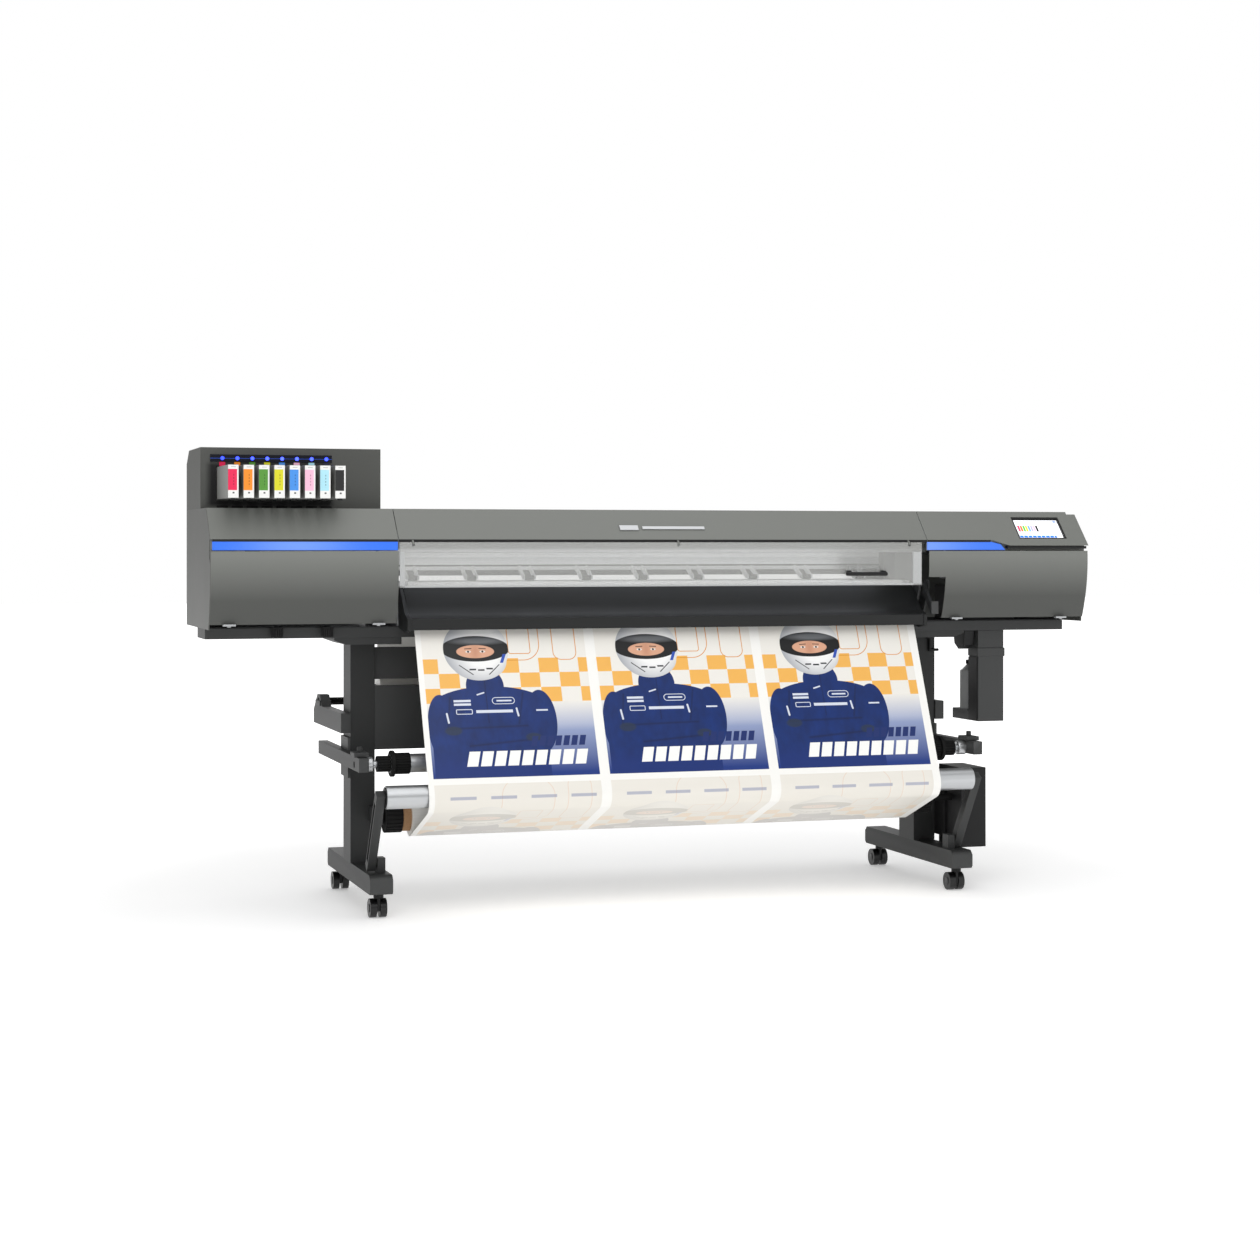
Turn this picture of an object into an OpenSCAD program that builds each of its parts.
// Large-format printer and cutter on a caster stand, with take-up unit and ink pouch box.
// X runs along the machine, the operator stands at -Y, the floor is z = 0.

/* [Body] */
// Width over both end casings
body_w = 2827; // [2700:1:3400]
// Front of the covers, measured forward from the centre plane
body_front = 283; // [270:1:340]
// Back wall, measured back from the centre plane
body_back = 284; // [270:1:340]
// Floor to the underside of the base frame
stand_h = 820; // [683:1:990]
// Base frame height
base_h = 31; // [26:1:37]
// Casing height above the base frame
casing_h = 356; // [345:1:420]
// Casing wall
wall = 3; // [2.5:0.1:3.6]
// Height of the sloping top panel
slope_h = 92; // [80:1:110]
// Depth of the sloping top panel
slope_d = 86; // [75:1:103]
// Extra drop of the slope in front of the touch panel
lip_drop = 18; // [10:1:20]
// Gap between neighbouring covers
cover_gap = 2; // [1:0.1:2.4]
// How far the lower edge of a front cover falls back from its most forward line
cover_bulge = 37; // [30:1:44]

/* [Media] */
// Media width
media_w = 1625; // [1350:1:1950]
// Sideways place of the media and stand from the body centre
media_x = 10.5; // [0:0.5:12]
// Media thickness
media_t = 1; // [0.8:0.1:1.2]
// Radius of the wound take-up roll
wound_r = 60; // [50:1:72]
// Radius of the supply roll
supply_r = 80; // [66:1:96]
// Core radius
core_r = 45; // [37:1:50]

/* [Ink] */
// Width of the ink box
ink_w = 544; // [453:1:653]
// Height of the ink box
ink_h = 183; // [165:1:220]
// Number of ink trays
ink_count = 8; // [4, 6, 8]
// Width of one ink tray
tray_w = 31; // [25:1:38]
// Pitch of the trays
tray_pitch = 44.6; // [44:0.1:53]
// Height of an ink tray
tray_h = 97; // [80:1:117]
// How far the trays stand out of the box
tray_out = 240; // [200:1:255]

/* [Mechanism] */
// Feed roller radius
feed_r = 12; // [10:0.5:14.4]
// Pinch roller radius
pinch_r = 8; // [7:0.5:9.6]
// Number of pinch rollers
pinch_count = 9; // [5:1:11]
// Print carriage width
carriage_w = 260; // [217:1:312]
// Cutter carriage width
cutter_w = 110; // [92:1:132]
// Belt pulley radius
pulley_r = 15; // [12.5:0.5:18]

/* [Stand] */
// Column width
column_w = 75; // [62:1:80]
// Column depth
column_d = 116; // [97:1:139]
// Gap between the media edge and a column
column_gap = 83; // [70:1:99]
// Foot length
foot_l = 700; // [620:1:840]
// Foot height
foot_h = 57; // [48:1:68]
// Foot width
foot_w = 69; // [66:1:74]
// Caster wheel radius
wheel_r = 28; // [24:0.5:30]
// Caster height, floor to the foot's underside
caster_h = 74; // [70:1:89]
// Tension bar radius
bar_r = 34; // [28:1:38]
// Guide tube radius
tube_r = 28; // [23:1:34]

/* [Service] */
// Drain bottle radius
bottle_r = 40; // [33:1:44]
// Drain bottle height
bottle_h = 190; // [158:1:200]

/* [Hidden] */
$fn = 64;
fit = 0.08;
gap = 0.5;
eps = 0.01;

// heights
base_top = stand_h + base_h;
top_z = base_top + casing_h;
lip_z = top_z - slope_h;
cover_bottom = base_top + 15;
cover_top = lip_z - 35;
platen_z = stand_h + 165;
pan_t = 3;

// places along the machine
end_l = -body_w / 2;
end_r = body_w / 2;
open_l = media_x - media_w / 2 - 57;
open_r = media_x + media_w / 2 + 27;
web_l = media_x - media_w / 2;
web_r = media_x + media_w / 2;
column_in = media_w / 2 + column_gap;
column_out = column_in + column_w;
column_mid = column_in + column_w / 2;

// places in depth
slope_top_y = 97 - body_front;
lip_y = slope_top_y - slope_d;
slope_in = wall * sqrt(slope_d * slope_d + slope_h * slope_h) / slope_h;
front_y = -body_front;
rail_front = -130;
rail_back = 46;
column_y = 14;
foot_mid = 15;

// front covers hinge about a rod behind their top edge
cover_axis = [front_y + 11, cover_top - 6];
window_axis = [front_y + 5.5, lip_z - 12];
window_r = web_r + 3;
window_bottom = lip_z - 143;
notch_r = open_r + 61;
notch_z = cover_bottom + 131;

// carriage beam and what runs on it
beam_y = 90;
beam_d = 60;
beam_z = platen_z + 90;
beam_h = 70;
rail_z = beam_z + 24;
carriage_x = end_r - 284;
cutter_x = end_l + 160;
belt_z = beam_z + beam_h + 5;
belt_h = 12;
belt_t = 1.5;
belt_clear = 0.3;
belt_y = 60;
pulley_in = 68;

// feed and pinch rollers
web_z = platen_z + gap;
feed_y = 75;
feed_z = platen_z + 0.2 - feed_r;
pinch_z = web_z + media_t + 0.4 + pinch_r;
pinch_axis = [feed_y + 55, pinch_z + 30];
post_gap = 55;
lever_x = open_r + 33;
lever_axis = [-165, platen_z - 12];

// take-up unit, measured from the floor
bar_y = -390;
bar_z = 365;
arm_axis = [-255, caster_h + foot_h + 24];
arm_in = column_in + 41;
arm_t = 26;
tube_y = -260;
tube_z = 451;
roll_y = -150;
roll_z = 282;
supply_y = 340;
supply_z = 600;

// the foot of each caster
caster_x = column_mid;
caster_in = 48;
caster_ys = [foot_mid - foot_l / 2 + caster_in, foot_mid + foot_l / 2 - caster_in];
stem_r = 8;
axle_r = 4;
trail = 18;

// drain unit
drain_gap = 161.5;
drain_x = media_x + column_out + drain_gap;
drain_w = 92;
drain_front = -130;
drain_z = 522;
bottle_y = 12;

// box from lower to upper corner
module block(lo, hi) {
  translate(lo) cube(hi - lo);
}

// outline in (y, z), drawn from x0 to x1
module slab(x0, x1, outline) {
  translate([x0, 0, 0]) rotate([90, 0, 90]) linear_extrude(x1 - x0) polygon(outline);
}

// outline in (x, z), drawn from y0 to y1
module plate(y0, y1, outline) {
  translate([0, y1, 0]) rotate([90, 0, 0]) linear_extrude(y1 - y0) polygon(outline);
}

// round bar along X through (y, z)
module rod(x0, x1, at, r) {
  translate([x0, at[0], at[1]]) rotate([0, 90, 0]) cylinder(h = x1 - x0, r = r);
}

// round tube along X with solid plugs of the given length in its ends
module tube(x0, x1, at, r, t, plug) {
  difference() {
    rod(x0, x1, at, r);
    rod(x0 + plug, x1 - plug, at, r - t);
  }
}

// closed box section with an even wall
module box_tube(lo, hi, t) {
  difference() {
    block(lo, hi);
    block(lo + [t, t, t], hi - [t, t, t]);
  }
}

// mirrors what it is given to the left of the stand's centre plane
module side(s) {
  translate([media_x, 0, 0]) mirror([s < 0 ? 1 : 0, 0, 0]) children();
}

// ---- stand ----

module leg(s) {
  color("dimgray") side(s) {
    foot();
    column();
    top_plate();
    arm_lug();
    if (s < 0) roll_bearing();
  }
}

module foot() {
  y0 = foot_mid - foot_l / 2;
  y1 = foot_mid + foot_l / 2;
  z1 = caster_h + foot_h;
  x0 = column_mid - foot_w / 2;
  difference() {
    slab(x0, x0 + foot_w, [
      [y0 + 8, caster_h], [y1 - 8, caster_h], [y1, caster_h + 8], [y1, z1 - 14], [y1 - 14, z1],
      [y0 + 14, z1], [y0, z1 - 14], [y0, caster_h + 8]
    ]);
    for (y = caster_ys)
      translate([caster_x, y, caster_h - 1]) cylinder(h = 36, r = stem_r + fit);
  }
}

module column() {
  y0 = column_y - column_d / 2;
  box_tube([column_in, y0, caster_h + foot_h], [column_out, y0 + column_d, stand_h - 21], 3);
}

module top_plate() {
  plate(rail_front, 80, [
    [column_in - 65, stand_h], [column_out + 65, stand_h], [column_out + 65, stand_h - 8],
    [column_out + 30, stand_h - 21], [column_in - 65, stand_h - 21]
  ]);
}

// lug that carries a tension arm's pivot
module arm_lug() {
  x1 = arm_in - 3;
  difference() {
    block([x1 - 24, arm_axis[0] - 20, caster_h + foot_h - 1], [x1, arm_axis[0] + 20, arm_axis[1] + 20]);
    rod(x1 - 20, x1 + 1, arm_axis, 8 + fit);
  }
}

// bearing arm that holds the free end of the take-up roll
module roll_bearing() {
  difference() {
    block([column_in, roll_y - 22, roll_z - 22], [column_in + 20, column_y - column_d / 2, roll_z + 22]);
    rod(column_in - 1, column_in + 21, [roll_y, roll_z], 12 + fit);
  }
}

module left_leg() leg(-1);
module right_leg() leg(1);

module stretcher_panels() {
  color("#333333") {
    translate([media_x, 0, 0]) {
      panel(column_in, -30, -6, stand_h - 131, stand_h - 34);
      panel(column_in, -44, -20, stand_h - 345, stand_h - 150);
    }
  }
}

// folded panel between the columns, open at the back
module panel(half, y0, y1, z0, z1) {
  difference() {
    block([-half, y0, z0], [half, y1, z1]);
    block([-half + 2, y0 + 2, z0 + 2], [half - 2, y1 + 1, z1 - 2]);
  }
}

module base_frame() {
  color("#4b4b48") {
    box_tube([end_l + 4, rail_front, stand_h], [end_r - 11, rail_back, base_top], 3);
    block([end_l + 14, -125, base_top], [end_r - 14, 200, base_top + pan_t]);
    for (x = [end_l + 63, end_r - 63]) post(x);
    for (x = [web_l - post_gap, web_r + post_gap]) difference() {
      post(x);
      rod(x - 21, x + 21, pinch_axis, 6 + fit);
    }
    lever_bracket();
  }
}

module post(x) {
  box_tube([x - 20, beam_y, base_top + pan_t - eps], [x + 20, beam_y + beam_d, beam_z], 3);
}

module lever_bracket() {
  for (x = [lever_x - 19, lever_x + 13]) difference() {
    slab(x, x + 6, [
      [-124, base_top], [-60, base_top], [lever_axis[0] + 14, lever_axis[1] + 14],
      [lever_axis[0] - 12, lever_axis[1] + 14], [lever_axis[0] - 12, lever_axis[1] - 14]
    ]);
    rod(x - 1, x + 7, lever_axis, 5 + fit);
  }
}

// ---- casters ----

module place_caster(s, k) {
  side(s) translate([caster_x, caster_ys[k], 0]) children();
}

// stem, neck and hood of a twin-wheel caster, which trails behind its stem
module fork() {
  color("#222222") difference() {
    union() {
      translate([0, 0, caster_h - 8]) cylinder(h = 40, r = stem_r);
      translate([0, 0, caster_h - 14]) cylinder(h = 13, r = 15);
      block([-4, -6, wheel_r - 8], [4, trail + 10, caster_h - 10]);
    }
    rod(-5, 5, [trail, wheel_r], axle_r + fit);
  }
}

module wheel_pair() {
  color("#1c1c1c") {
    rod(-26, 26, [trail, wheel_r], axle_r);
    for (x = [-25, 5]) rod(x, x + 20, [trail, wheel_r], wheel_r);
  }
}

module front_left_fork() place_caster(-1, 0) fork();
module front_right_fork() place_caster(1, 0) fork();
module rear_left_fork() place_caster(-1, 1) fork();
module rear_right_fork() place_caster(1, 1) fork();
module front_left_wheels() place_caster(-1, 0) wheel_pair();
module front_right_wheels() place_caster(1, 0) wheel_pair();
module rear_left_wheels() place_caster(-1, 1) wheel_pair();
module rear_right_wheels() place_caster(1, 1) wheel_pair();

// ---- casing ----

// top shell from the lip to y1, with the lip carried down by drop
function shell_outline(drop, y1) = let (
  dy = slope_d * drop / slope_h,
  ly = lip_y - dy,
  lz = lip_z - drop
) [
  [ly, lz], [slope_top_y, top_z], [y1, top_z], [y1, top_z - wall],
  [slope_top_y + slope_in - wall * slope_d / slope_h, top_z - wall], [ly + slope_in, lz]
];

// forward line of the front covers at height z
function cover_y(z) = front_y + cover_bulge * pow((z - cover_top + 32) / (cover_top - 32 - cover_bottom), 2);

function cover_line(off) = [
  for (i = [0 : 12]) let (z = cover_bottom + (cover_top - cover_bottom) * i / 12) [cover_y(z) + off, z]
];

module end_wall(x0, x1) {
  line = [for (p = cover_line(5)) if (p[1] < cover_axis[1] - 14) p];
  slab(x0, x1, concat(
    [[line[0][0], base_top]], line,
    [[lip_y + 13.5, cover_axis[1] - 10], [lip_y + 13.5, lip_z - 2], [lip_y + 3, lip_z]],
    [[slope_top_y + 2, top_z - 1], [body_back, top_z - 1], [body_back, base_top]]
  ));
}

// strip behind the light bar with the ears that hold a front cover's rod
module brow(x0, x1) {
  block([x0, lip_y + 10, cover_top + 1], [x1, lip_y + 13, lip_z + 4]);
  block([x0, lip_y + 2.5, lip_z - 1], [x1, lip_y + 13, lip_z + 2]);
  for (x = [x0 + 60, x1 - 66]) difference() {
    slab(x, x + 6, [
      [cover_axis[0] - 4, cover_axis[1] - 4], [cover_axis[0] + 5, cover_axis[1] - 4],
      [lip_y + 13, cover_top + 8], [lip_y + 10, cover_top + 8], [lip_y + 10, cover_top + 2],
      [cover_axis[0] - 4, cover_axis[1] + 4]
    ]);
    rod(x - 1, x + 7, cover_axis, 2.5 + fit);
  }
}

module left_end_casing() {
  x1 = open_l - cover_gap / 2;
  color("#6e6f6b") {
    slab(end_l, x1, shell_outline(0, body_back));
    block([end_l, body_back - wall, base_top], [x1, body_back, top_z - 1]);
    end_wall(end_l, end_l + wall);
    brow(end_l + wall - eps, x1);
  }
}

// lowered strip of the top, at the right end wall
end_step = 8;
end_step_w = 30;

module end_step_skin() {
  deep = end_step + wall;
  slab(end_r - end_step_w - wall, end_r, [
    [slope_top_y - deep * slope_d / slope_h, top_z - deep], [slope_top_y, top_z],
    [body_back, top_z], [body_back, top_z - deep]
  ]);
}

module right_end_casing() {
  x0 = open_r + cover_gap / 2;
  step0 = open_r + 225;
  step1 = open_r + 282;
  color("#6e6f6b") difference() {
    union() {
      slab(x0, end_r, shell_outline(lip_drop, body_back));
      block([x0, body_back - wall, base_top], [end_r, body_back, top_z - 1]);
      end_wall(end_r - wall, end_r);
      brow(x0, end_r - wall + eps);
      end_step_skin();
    }
    plate(front_y - 60, lip_y + 2.4, [
      [x0 - 1, lip_z - 60], [x0 - 1, lip_z], [step0, lip_z], [step1, lip_z - lip_drop], [step1, lip_z - 60]
    ]);
    on_slope() translate([screen_x, screen_s, -20]) cube([screen_w, screen_d, 30]);
    block([end_r - end_step_w, slope_top_y - 300, top_z - end_step], [end_r + 1, body_back + 1, top_z + 5]);
    block([end_r - wall - 1, 195, base_top + 40], [end_r + 1, 225, base_top + 66]);
  }
}

// touch panel opening, on the slope: x, distance down from the top edge, sizes
screen_x = end_r - 237;
screen_w = 170;
screen_s = 24;
screen_d = 96;

// frame whose origin is the slope's top edge, X along it, Y down it, Z out of it
module on_slope() {
  translate([0, slope_top_y, top_z]) rotate([180 + atan2(slope_h, slope_d), 0, 0]) mirror([0, 0, 1]) children();
}

module touch_panel() {
  color("#151515") on_slope() translate([screen_x + 0.5, screen_s + 0.5, -14]) {
    difference() {
      cube([screen_w - 1, screen_d - 1, 13]);
      translate([5, 5, 9]) cube([screen_w - 11, screen_d - 11, 5]);
    }
  }
}

module centre_top_cover() {
  x0 = open_l + cover_gap / 2;
  x1 = open_r - cover_gap / 2;
  color("#6e6f6b") {
    slab(x0, x1, shell_outline(0, 60));
    block([x0, lip_y + 2.5, lip_z - 1], [x1, lip_y + 13, lip_z + 2]);
    for (x = window_ears()) difference() {
      slab(x, x + 5, [
        [window_axis[0] - 4, window_axis[1] - 4.5], [window_axis[0] + 4.5, window_axis[1] - 4.5],
        [lip_y + 12, lip_z - 8], [lip_y + 12, lip_z], [lip_y + 3, lip_z], [window_axis[0] - 4, window_axis[1] + 4.5]
      ]);
      rod(x - 1, x + 6, window_axis, 2.5 + fit);
    }
  }
}

function window_ears() = [open_l + 40, media_x, window_r - 45];

module rear_casing() {
  x0 = open_l + cover_gap / 2;
  x1 = open_r - cover_gap / 2;
  color("#5c5d59") slab(x0, x1, [
    [60 + gap, top_z], [body_back, top_z], [body_back, platen_z + 25], [body_back - 12, platen_z + 15],
    [body_back - 12, platen_z + 18], [body_back - wall, platen_z + 26], [body_back - wall, top_z - wall],
    [60 + gap, top_z - wall]
  ]);
}

// curved shell of a front cover with its hinge rod
module front_cover(x0, x1) {
  outer = cover_line(0);
  inner = cover_line(3.5);
  last = len(inner) - 1;
  slab(x0, x1, concat(outer, [for (i = [0 : last]) inner[last - i]]));
  slab(x0 + 4, x1 - 4, [
    [outer[0][0], cover_bottom], [outer[0][0] + 12, cover_bottom], [outer[0][0] + 12, cover_bottom + 3],
    [outer[0][0] + 1, cover_bottom + 3]
  ]);
}

module cover_rod(x0, x1, from) {
  rod(from, x1 - 20, cover_axis, 2.5);
  for (x = [from + 4, (from + x1) / 2, x1 - 30])
    block([x, front_y + 1, cover_axis[1] - 2], [x + 6, cover_axis[0], cover_axis[1] + 2]);
}

module left_front_cover() {
  x0 = end_l;
  x1 = open_l - cover_gap / 2;
  color("#70716c") {
    front_cover(x0, x1);
    cover_rod(x0, x1, x0 + 20);
  }
}

module right_front_cover() {
  x0 = open_r + cover_gap / 2 + 2;
  color("#70716c") {
    difference() {
      front_cover(x0, end_r);
      block([x0 - 1, front_y - 5, cover_bottom - 1], [notch_r, front_y + 90, notch_z]);
    }
    cover_rod(x0, end_r, x0 + 20);
  }
}

module window_cover() {
  x0 = open_l + cover_gap / 2;
  y1 = front_y + 4;
  color("#c8ccce", 0.45) {
    difference() {
      union() {
        block([x0, front_y, window_bottom], [window_r, y1, lip_z - 8]);
        block([x0, front_y, window_bottom], [window_r, front_y + 14, window_bottom + 4]);
      }
      for (x = window_ears())
        block([x - 2, front_y - 1, window_axis[1] - 8], [x + 7, front_y + 5, lip_z]);
    }
    rod(x0 + 20, window_r - 20, window_axis, 2.5);
  }
}

module window_handle() {
  x0 = window_r - 266;
  z = window_bottom + 36;
  color("#161616") {
    rod(x0, x0 + 140, [front_y - 17, z], 6);
    for (x = [x0 + 6, x0 + 122]) block([x, front_y - 17, z - 6], [x + 12, front_y, z + 6]);
  }
}

module front_hood() {
  x0 = web_l - 17;
  x1 = web_r + 17;
  color("#2a2a2a") {
    slab(x0, x1, [
      [-152, platen_z - 13], [-220, platen_z - 90], [-265, platen_z - 107], [-265, platen_z - 140],
      [-262, platen_z - 140], [-262, platen_z - 109], [-218, platen_z - 92], [-149, platen_z - 13]
    ]);
    for (x = [x0 - 12, x1])
      slab(x, x + 12, [
        [-147, platen_z - 13], [-222, platen_z - 90], [-268, platen_z - 107], [-268, platen_z - 142],
        [-225, platen_z - 148], [rail_front - 2, base_top - 1], [rail_front - 2, platen_z - 13]
      ]);
  }
}

module light_bars() {
  y0 = lip_y + 4;
  y1 = lip_y + 10;
  z0 = cover_top + 3;
  z1 = lip_z - 6;
  color("#3b82f6") {
    block([end_l + 8, y0, z0], [open_l - cover_gap / 2, y1, z1]);
    plate(y0, y1, [
      [open_r + 3, z0], [open_r + 3, z1], [open_r + 225, z1], [open_r + 260, lip_z - lip_drop + 4],
      [open_r + 276, z0]
    ]);
  }
}

// ---- ink ----

tray_x0 = end_l + 64.5;
tray_z = top_z + 27;
ink_front = -55;
ink_back = 284;
tray_len = tray_out + 250;
shelf_t = 3;

module ink_box() {
  z1 = top_z + ink_h;
  x1 = end_l + ink_w;
  hole = tray_w + 3;
  color("#4d4d4d") {
    difference() {
      slab(end_l, x1, [
        [ink_front, top_z], [ink_front, z1], [ink_back - 60, z1], [ink_back, z1 - 40], [ink_back, top_z]
      ]);
      slab(end_l + wall, x1 - wall, [
        [ink_front + wall, top_z + wall], [ink_front + wall, z1 - wall], [ink_back - 61, z1 - wall],
        [ink_back - wall, z1 - 41], [ink_back - wall, top_z + wall]
      ]);
      for (i = [0 : ink_count - 1])
        block([tray_at(i) - hole / 2, ink_front - 1, tray_z - shelf_t - 1],
              [tray_at(i) + hole / 2, ink_front + wall + 1, tray_z + tray_h + 2]);
    }
    difference() {
      block([end_l + wall - eps, ink_front + wall - eps, tray_z - gap - shelf_t],
            [tray_at(ink_count - 1) + tray_w, 215, tray_z - gap]);
      block([end_l + wall - 1, ink_front + wall + 20, tray_z - gap - shelf_t - 1], [end_l + 30, 190, tray_z]);
    }
    block([tray_x0 - 36, ink_front - 6, tray_z + tray_h + 16],
          [tray_at(ink_count - 1) + 17, ink_front, tray_z + tray_h + 38]);
  }
}

function tray_at(i) = tray_x0 + i * tray_pitch;

// open-topped carrier of one ink pouch
module ink_tray(i) {
  y0 = ink_front - tray_out;
  x0 = tray_at(i) - tray_w / 2;
  color("#9b9b99") difference() {
    block([x0, y0, tray_z], [x0 + tray_w, y0 + tray_len, tray_z + tray_h]);
    block([x0 + 2, y0 + tray_out + 20, tray_z + 2], [x0 + tray_w - 2, y0 + tray_len - 4, tray_z + tray_h + 1]);
    block([x0 + 8, y0 + 5, tray_z - 1], [x0 + tray_w - 8, y0 + 20, tray_z + 6]);
  }
}

module ink_tray_1() ink_tray(0);
module ink_tray_2() if (ink_count > 1) ink_tray(1);
module ink_tray_3() if (ink_count > 2) ink_tray(2);
module ink_tray_4() if (ink_count > 3) ink_tray(3);
module ink_tray_5() if (ink_count > 4) ink_tray(4);
module ink_tray_6() if (ink_count > 5) ink_tray(5);
module ink_tray_7() if (ink_count > 6) ink_tray(6);
module ink_tray_8() if (ink_count > 7) ink_tray(7);

// ---- mechanism ----

module carriage_beam() {
  x0 = end_l + 30;
  x1 = end_r - 30;
  color("#a9acae") {
    box_tube([x0, beam_y, beam_z], [x1, beam_y + beam_d, beam_z + beam_h], 4);
    block([x0 + 40, beam_y - 9, rail_z], [x1 - 40, beam_y, rail_z + 18]);
  }
}

// shoe that rides the linear rail with a small running gap
module rail_shoe(x0, x1) {
  difference() {
    block([x0, beam_y - 22, rail_z - 10], [x1, beam_y - 0.6, rail_z + 28]);
    block([x0 - 1, beam_y - 9.6, rail_z - 0.6], [x1 + 1, beam_y, rail_z + 18.6]);
  }
}

module print_carriage() {
  x0 = carriage_x - carriage_w / 2;
  x1 = carriage_x + carriage_w / 2;
  color("#2f3133") {
    rail_shoe(x0 + 10, x1 - 10);
    difference() {
      block([x0, -110, platen_z + 22], [x1, beam_y - 21, belt_z - 4]);
      block([x0 + 3, -107, platen_z + 20], [x1 - 3, 30, belt_z - 8]);
      block([x0 - 1, 36, platen_z + 20], [x1 + 1, beam_y, platen_z + 84]);
    }
    block([carriage_x - 20, belt_y - pulley_r + 4, belt_z - 5], [carriage_x + 20, belt_y - 5, belt_z - 1]);
  }
}

module print_heads() {
  color("#8d9296") for (dx = [-62, 62])
    block([carriage_x + dx - 38, -90, platen_z + 4], [carriage_x + dx + 38, 20, platen_z + 40]);
  color("#55595c")
    block([carriage_x - carriage_w / 2 + 3, -107, platen_z + 40], [carriage_x + carriage_w / 2 - 3, 30, platen_z + 44]);
}

module cutter_carriage() {
  x0 = cutter_x - cutter_w / 2;
  x1 = cutter_x + cutter_w / 2;
  color("#3a3c3e") {
    rail_shoe(x0 + 6, x1 - 6);
    block([x0, 0, rail_z - 10], [x1, beam_y - 21, belt_z - 4]);
    block([cutter_x - 20, -34, rail_z - 30], [cutter_x + 20, 1, rail_z + 30]);
    translate([cutter_x, -16, platen_z + 12]) cylinder(h = rail_z - platen_z - 20, r = 9);
    translate([cutter_x, -16, platen_z + 4]) cylinder(h = 12, r = 3);
  }
}

module belt_loop(r, over) {
  run_x = end_r - pulley_in;
  for (s = [-1, 1]) translate([s * run_x, belt_y, belt_z - over]) cylinder(h = belt_h + 2 * over, r = r);
  block([-run_x, belt_y - r, belt_z - over], [run_x, belt_y + r, belt_z + belt_h + over]);
}

module drive_belt() {
  color("#1a1a1a") difference() {
    belt_loop(pulley_r + belt_clear + belt_t, 0);
    belt_loop(pulley_r + belt_clear, 1);
  }
}

module pulley(x) {
  color("#b9bcbe") {
    translate([x, belt_y, belt_z - 1]) cylinder(h = belt_h + 2, r = pulley_r);
    translate([x, belt_y, belt_z - 12]) cylinder(h = 24 + belt_h, r = 4);
  }
}

module drive_pulley() pulley(end_r - pulley_in);
module idler_pulley() pulley(-(end_r - pulley_in));

// motor at the drive end and the bracket that carries the idler at the other
module drive_motor() {
  color("#2b2b2d") {
    difference() {
      block([end_r - pulley_in - 24, belt_y - 24, belt_z - 62], [end_r - pulley_in + 24, beam_y - 10, belt_z - 4]);
      translate([end_r - pulley_in, belt_y, belt_z - 13]) cylinder(h = 12, r = 4 + fit);
    }
    difference() {
      block([pulley_in - end_r - 16, belt_y - 16, belt_z - 30], [pulley_in - end_r + 16, beam_y - 10, belt_z - 4]);
      translate([pulley_in - end_r, belt_y, belt_z - 13]) cylinder(h = 12, r = 4 + fit);
    }
  }
}

module platen() {
  x0 = web_l - 30;
  x1 = web_r + 30;
  front = -128;
  color("#9a9da0") {
    slab(x0, x1, [
      [front, platen_z - 10], [front, platen_z],
      [feed_y - feed_r - 3, platen_z], [feed_y - feed_r - 3, platen_z - 10]
    ]);
    slab(x0, x1, [
      [feed_y + feed_r + 3, platen_z - 10], [feed_y + feed_r + 3, platen_z],
      [170, platen_z], [170, platen_z - 10]
    ]);
    slab(web_l - 14, web_r + 14, [
      [front, platen_z - 10], [front, platen_z], [front - 8, platen_z - 2], [front - 19, platen_z - 30],
      [-203, platen_z - 120], [-199, platen_z - 121], [front - 14, platen_z - 30]
    ]);
    slab(x0, x1, [
      [170, platen_z - 10], [170, platen_z], [190, platen_z - 4], [240, platen_z - 60], [236, platen_z - 62], [188, platen_z - 10]
    ]);
    for (x = [x0, x1 - 8]) difference() {
      block([x, front + 1, base_top + pan_t], [x + 8, 168, platen_z - 9]);
      rod(x - 1, x + 9, [feed_y, feed_z], 8 + fit);
      if (feed_z + feed_r > platen_z - 9)
        block([x - 1, feed_y - feed_r - 3, platen_z - 14], [x + 9, feed_y + feed_r + 3, platen_z]);
    }
    block([x0 + 7, front + 1, base_top + pan_t], [x1 - 7, front + 4, platen_z - 9]);
  }
}

module feed_roller() {
  color("#c5c8ca") {
    rod(web_l - 34, web_r + 34, [feed_y, feed_z], 8);
    rod(web_l - 20, web_r + 20, [feed_y, feed_z], feed_r);
  }
}

function pinch_at(i) = web_l + 60 + i * (media_w - 120) / (pinch_count - 1);

module pinch_rollers() {
  color("#46484a") for (i = [0 : pinch_count - 1]) {
    rod(pinch_at(i) - 14, pinch_at(i) + 14, [feed_y, pinch_z], pinch_r);
    rod(pinch_at(i) - 19, pinch_at(i) + 19, [feed_y, pinch_z], 2.5);
  }
}

// lifting shaft with a clevis for each pinch roller
module pinch_arms() {
  color("#7d8083") {
    rod(web_l - post_gap - 24, web_r + post_gap + 24, pinch_axis, 6);
    for (i = [0 : pinch_count - 1]) for (dx = [-20, 15]) difference() {
      slab(pinch_at(i) + dx, pinch_at(i) + dx + 5, [
        [feed_y - 6, pinch_z - 5], [feed_y + 8, pinch_z - 5], [pinch_axis[0] + 5, pinch_axis[1] - 8],
        [pinch_axis[0] + 9, pinch_axis[1]], [pinch_axis[0] + 3, pinch_axis[1] + 9], [pinch_axis[0] - 6, pinch_axis[1] + 7],
        [feed_y - 6, pinch_z + 7]
      ]);
      rod(pinch_at(i) + dx - 1, pinch_at(i) + dx + 6, [feed_y, pinch_z], 2.5 + fit);
    }
  }
}

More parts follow.
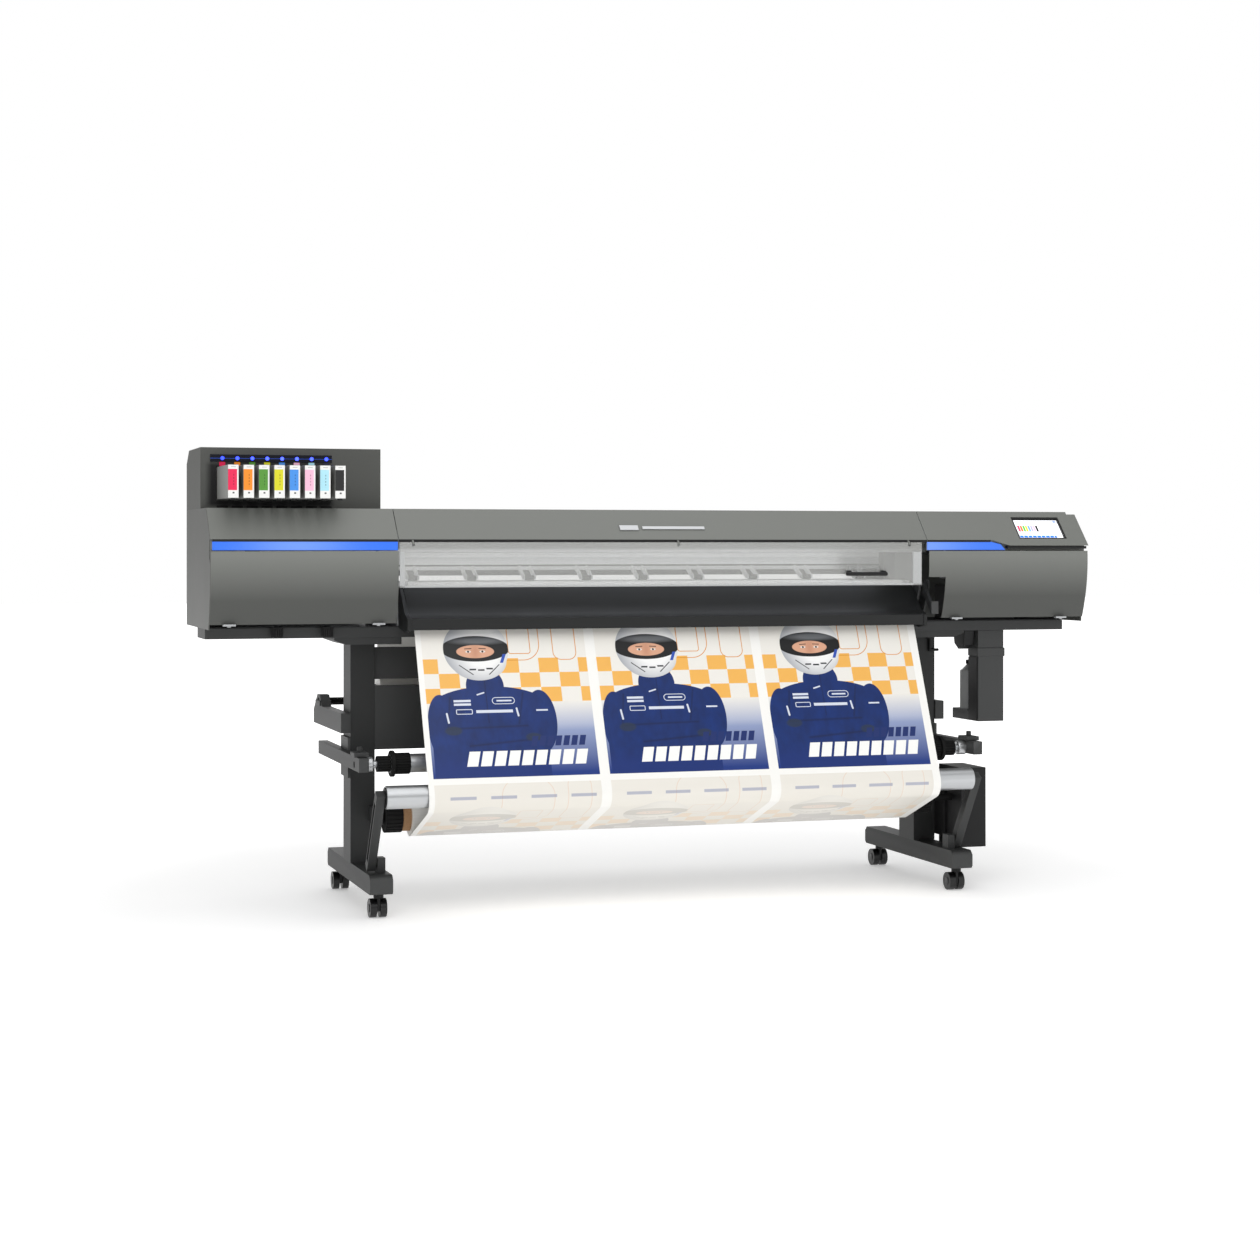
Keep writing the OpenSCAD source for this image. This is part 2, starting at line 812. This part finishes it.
module loading_lever() {
  color("#8a8c88") {
    rod(lever_x - 12, lever_x + 12, lever_axis, 9);
    rod(lever_x - 18, lever_x + 18, lever_axis, 5);
    slab(lever_x - 5, lever_x + 5, [
      [lever_axis[0] - 8, lever_axis[1] + 8], [lever_axis[0] + 8, lever_axis[1] - 8],
      [-236, platen_z - 102], [-252, platen_z - 104], [-252, platen_z - 92]
    ]);
    block([lever_x - 12, -258, platen_z - 106], [lever_x + 12, -244, platen_z - 66]);
  }
}

module capping_station() {
  z0 = base_top + pan_t;
  z1 = platen_z - 18;
  color("#3b3d40") difference() {
    block([carriage_x - 110, -105, z0], [carriage_x + 110, 40, z1]);
    for (dx = [-62, 62]) block([carriage_x + dx - 34, -84, z1 - 16], [carriage_x + dx + 34, 14, z1 + 1]);
    block([carriage_x + 116, -60, z1 - 30], [carriage_x + 120, 0, z1 + 1]);
  }
}

module control_box() {
  color("#8f9294") box_tube([open_l - 420, 165, base_top + pan_t], [open_l - 40, 275, base_top + 200], 2);
}

// ---- media path ----

// the web's line from the supply roll over the platen to the take-up roll, in (y, z)
hood_out = platen_z - 142;
roll_reach = wound_r + gap + media_t / 2;
loop_at = [bar_y + 5, bar_z - 8];
loop_r = bar_r + 13;
supply_reach = supply_r + gap + media_t / 2;

function arc(c, r, a0, a1, n) = [
  for (i = [0 : n]) let (a = a0 + (a1 - a0) * i / n) [c[0] + r * cos(a), c[1] + r * sin(a)]
];

// angle at which a line from point p touches a circle, on the side given by s
function touch(c, r, p, s) = let (d = p - c) atan2(d[1], d[0]) + s * acos(r / norm(d));

// angle of the lower common tangent of two circles
function under(c0, r0, c1, r1) = let (d = c1 - c0) atan2(d[1], d[0]) - acos((r0 - r1) / norm(d)) + 360;

rear_guide = [259, platen_z - 80];
exit_at = [-227, hood_out];
under_a = under(loop_at, loop_r, [roll_y, roll_z], roll_reach);
web_line = concat(
  arc([supply_y, supply_z], supply_reach, 0, touch([supply_y, supply_z], supply_reach, rear_guide, -1), 4),
  [rear_guide, [204, platen_z - 10 + gap], [188, platen_z - 1 + gap], [172, web_z + media_t / 2]],
  [[-129, web_z + media_t / 2], [-137, web_z - 1], [-151, platen_z - 28], exit_at],
  arc(loop_at, loop_r, touch(loop_at, loop_r, exit_at, 1), under_a, 12),
  arc([roll_y, roll_z], roll_reach, under_a, 278, 6)
);
rear_end = loop_r + media_t / 2 - loop_at[0];

function unit(v) = v / norm(v);
function turn(v) = [-v[1], v[0]];
// offset of the line by d to its left at point i
function shifted(line, i, d) = let (
  n = len(line),
  a = unit(line[min(i + 1, n - 1)] - line[min(i, n - 2)]),
  b = unit(line[max(i, 1)] - line[max(i - 1, 0)]),
  m = unit(turn(a) + turn(b))
) line[i] + m * d / (m * turn(a));

module ribbon(x0, x1, line, t) {
  n = len(line);
  slab(x0, x1, concat(
    [for (i = [0 : n - 1]) shifted(line, i, t / 2)],
    [for (i = [n - 1 : -1 : 0]) shifted(line, i, -t / 2)]
  ));
}

module media_web() {
  color("#f2efe8") ribbon(web_l, web_r, web_line, media_t);
}

module wound_media() {
  color("#e9e3d6") difference() {
    rod(web_l, web_r, [roll_y, roll_z], wound_r);
    rod(web_l - 1, web_r + 1, [roll_y, roll_z], core_r);
  }
}

module take_up_core() {
  color("#8a6a4c") difference() {
    rod(web_l - 25, web_r + 25, [roll_y, roll_z], core_r);
    rod(web_l - 26, web_r + 26, [roll_y, roll_z], core_r - 7);
  }
}

module take_up_flanges() {
  x0 = media_x - column_in;
  x1 = media_x + column_in;
  color("#1e1e1e") {
    rod(x0 - 19, web_l - 5, [roll_y, roll_z], 12);
    rod(x0 + 3, web_l - 25, [roll_y, roll_z], core_r + 4);
    rod(web_l - 26, web_l - 2, [roll_y, roll_z], core_r - 7);
    rod(web_r + 5, media_x + column_out + 20, [roll_y, roll_z], 12);
    rod(web_r + 25, x1 - 4, [roll_y, roll_z], core_r + 4);
    rod(web_r + 2, web_r + 26, [roll_y, roll_z], core_r - 7);
  }
}

module take_up_drive() {
  x0 = media_x + column_out;
  foot_top = caster_h + foot_h;
  color("#262626") difference() {
    union() {
      block([x0 + 8, -230, foot_top - 4], [x0 + 94, -60, roll_z + 100]);
      block([x0, -120, foot_top + 20], [x0 + 9, column_y + 40, roll_z + 60]);
    }
    rod(x0 - 1, x0 + 30, [roll_y, roll_z], 12 + fit);
  }
}

module tension_arms() {
  tilt = [bar_y, bar_z] - arm_axis;
  away = unit(turn(tilt)) * 15;
  along = unit(tilt);
  color("#2d2d2d") for (s = [-1, 1]) side(s) difference() {
    union() {
      slab(arm_in, arm_in + arm_t, [
        arm_axis - away - along * 14, arm_axis + away - along * 14,
        [bar_y, bar_z] + away + along * 14, [bar_y, bar_z] - away + along * 14
      ]);
      rod(arm_in - 22, arm_in + 1, arm_axis, 8);
    }
    rod(arm_in - 1, arm_in + 16, [bar_y, bar_z], 10 + fit);
    slab(arm_in + arm_t - 8, arm_in + arm_t + 1, [
      arm_axis - away * 0.6 + along * 14, arm_axis + away * 0.6 + along * 14,
      [bar_y, bar_z] + away * 0.6 - along * 22, [bar_y, bar_z] - away * 0.6 - along * 22
    ]);
  }
}

module tension_bar() {
  x = arm_in - 3;
  color("#c9cccd") {
    tube(media_x - x, media_x + x, [bar_y, bar_z], bar_r, 3, 20);
    for (s = [-1, 1]) side(s) rod(x - 2, x + 17, [bar_y, bar_z], 10);
  }
}

module guide_tube() {
  x = column_in - 4;
  color("#c9cccd") {
    tube(media_x - x, media_x + x, [tube_y, tube_z], tube_r, 3, 20);
    for (s = [-1, 1]) side(s) {
      rod(x - 2, x + 96, [tube_y, tube_z], 10);
      rod(x - 2, x + 14, [tube_y, tube_z], tube_r + 12);
      rod(x + 12, x + 60, [tube_y, tube_z], tube_r + 4);
    }
  }
}

module roll_arms() {
  color("#303030") for (s = [-1, 1]) side(s) {
    tube_arm();
    rear_arm();
  }
}

// arm outside a column that carries the guide tube in front
module tube_arm() {
  x0 = column_out;
  y0 = column_y - column_d / 2;
  difference() {
    union() {
      block([x0, tube_y - 76, tube_z - 17], [x0 + 30, foot_mid + 330, tube_z + 24]);
      block([x0, y0, tube_z - 60], [x0 + 8, y0 + column_d, tube_z + 62]);
    }
    rod(x0 - 1, x0 + 31, [tube_y, tube_z], 10 + fit);
  }
}

// arm that runs back from a column and carries the supply roll
module rear_arm() {
  x0 = column_out;
  difference() {
    union() {
      slab(x0, x0 + 30, [
        [-50, supply_z - 73], [rear_end, supply_z - 73], [rear_end, supply_z - 30],
        [supply_y + 24, supply_z + 22], [supply_y - 24, supply_z + 22], [supply_y - 60, supply_z - 13],
        [-50, supply_z - 13]
      ]);
    }
    rod(x0 - 1, x0 + 31, [supply_y, supply_z], 12 + fit);
  }
}

module supply_roll() {
  color("#efece5") {
    rod(web_l, web_r, [supply_y, supply_z], supply_r);
    rod(media_x - column_out - 20, media_x + column_out + 20, [supply_y, supply_z], 12);
    for (s = [-1, 1]) side(s) rod(media_w / 2 + 4, media_w / 2 + 44, [supply_y, supply_z], core_r + 8);
  }
}

// ---- service ----

module drain_unit() {
  x0 = drain_x - drain_w / 2;
  x1 = drain_x + drain_w / 2;
  back = bottle_y + bottle_r + 12;
  color("#4a4a4a") {
    block([x0, drain_front, drain_z], [x1, drain_front + 67, stand_h]);
    block([x0 - 3, drain_front - 3, drain_z + 213], [x1 + 3, drain_front + 70, drain_z + 240]);
    difference() {
      block([x0, drain_front + 66, drain_z], [x1, back, drain_z + 34]);
      translate([drain_x, bottle_y, drain_z + 5]) cylinder(h = 40, r = bottle_r + 2);
    }
    block([drain_x - 12, drain_front + 66, drain_z + 258], [drain_x + 12, bottle_y + 12, drain_z + 274]);
  }
}

module drain_bottle() {
  z0 = drain_z + 5;
  color("#9a9c9c", 0.7) {
    translate([drain_x, bottle_y, z0]) cylinder(h = bottle_h - 30, r = bottle_r);
    translate([drain_x, bottle_y, z0 + bottle_h - 30]) cylinder(h = 20, r1 = bottle_r, r2 = 20);
    translate([drain_x, bottle_y, z0 + bottle_h - 11]) cylinder(h = 11, r = 20);
  }
}

// rocker in the right end wall
module power_switch() {
  y = 210;
  z = base_top + 53;
  color("#202020") {
    slab(end_r - 14, end_r - 2, [[y - 13, z - 11], [y + 13, z - 11], [y + 13, z + 11], [y - 13, z + 11]]);
  }
}

left_leg();
right_leg();
stretcher_panels();
base_frame();
front_left_fork();
front_right_fork();
rear_left_fork();
rear_right_fork();
front_left_wheels();
front_right_wheels();
rear_left_wheels();
rear_right_wheels();
rear_casing();
left_end_casing();
right_end_casing();
centre_top_cover();
left_front_cover();
right_front_cover();
window_cover();
window_handle();
front_hood();
touch_panel();
light_bars();
ink_box();
ink_tray_1();
ink_tray_2();
ink_tray_3();
ink_tray_4();
ink_tray_5();
ink_tray_6();
ink_tray_7();
ink_tray_8();
carriage_beam();
print_carriage();
print_heads();
cutter_carriage();
drive_belt();
drive_motor();
drive_pulley();
idler_pulley();
platen();
feed_roller();
pinch_rollers();
pinch_arms();
loading_lever();
capping_station();
control_box();
tension_arms();
tension_bar();
take_up_core();
take_up_flanges();
wound_media();
media_web();
take_up_drive();
guide_tube();
roll_arms();
supply_roll();
drain_unit();
drain_bottle();
power_switch();
